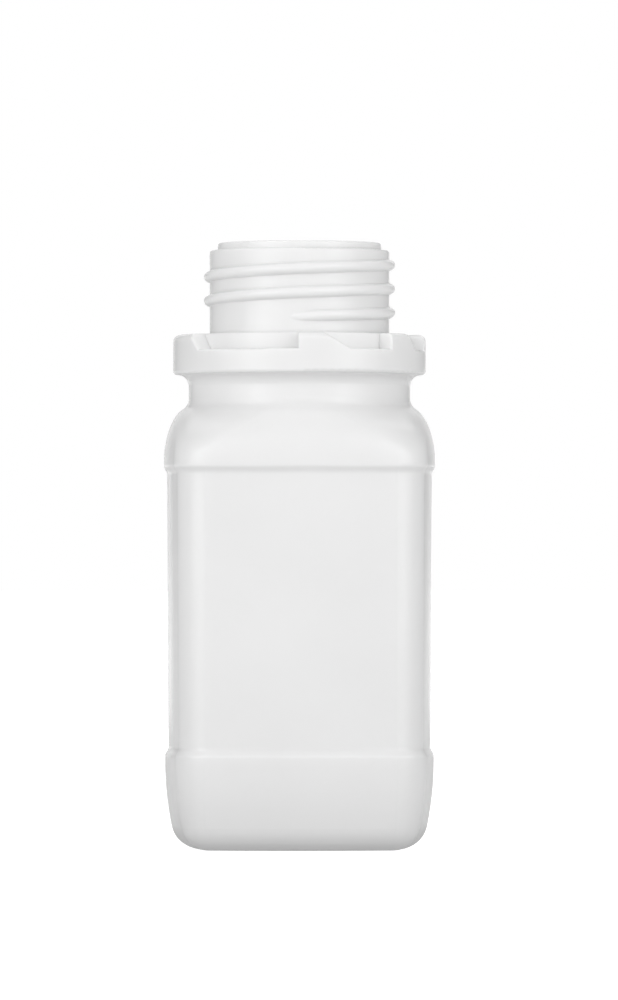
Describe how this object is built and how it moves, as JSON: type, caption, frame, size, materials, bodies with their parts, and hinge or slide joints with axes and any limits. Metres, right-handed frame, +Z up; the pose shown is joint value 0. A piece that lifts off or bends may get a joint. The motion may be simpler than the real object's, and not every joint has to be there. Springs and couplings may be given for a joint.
{
  "type": "reagent bottle",
  "caption": "Square wide-neck plastic reagent bottle with a ratchet collar and threaded neck, its ribbed tamper-evident screw closure set down behind it.",
  "frame": {"origin": "centre of the bottle's standing base", "axes": "+Z up along the bottle's axis and out of its mouth, front face towards -Y, +X to the right"},
  "size_m": [0.0454, 0.0879, 0.1013],
  "materials": {
    "bottle_plastic": "satin white polyethylene",
    "cap_plastic": "satin white polypropylene",
    "liner_foam": "matt polyethylene foam"
  },
  "bodies": {
    "bottle": {"bottle": "bottle_plastic"},
    "liner": {"seal_liner": "liner_foam"},
    "cap": {"screw_cap": "cap_plastic", "tamper_band": "cap_plastic"}
  },
  "joints": [
    {"name": "closure_lift", "type": "slide", "parent": "bottle", "child": "liner", "axis": [0, 0, 1], "range_m": [0, 0.11]},
    {"name": "cap_turn", "type": "hinge", "parent": "liner", "child": "cap", "pos_m": [0, 0.0442, 0], "axis": [0, 0, 1], "continuous": true}
  ]
}
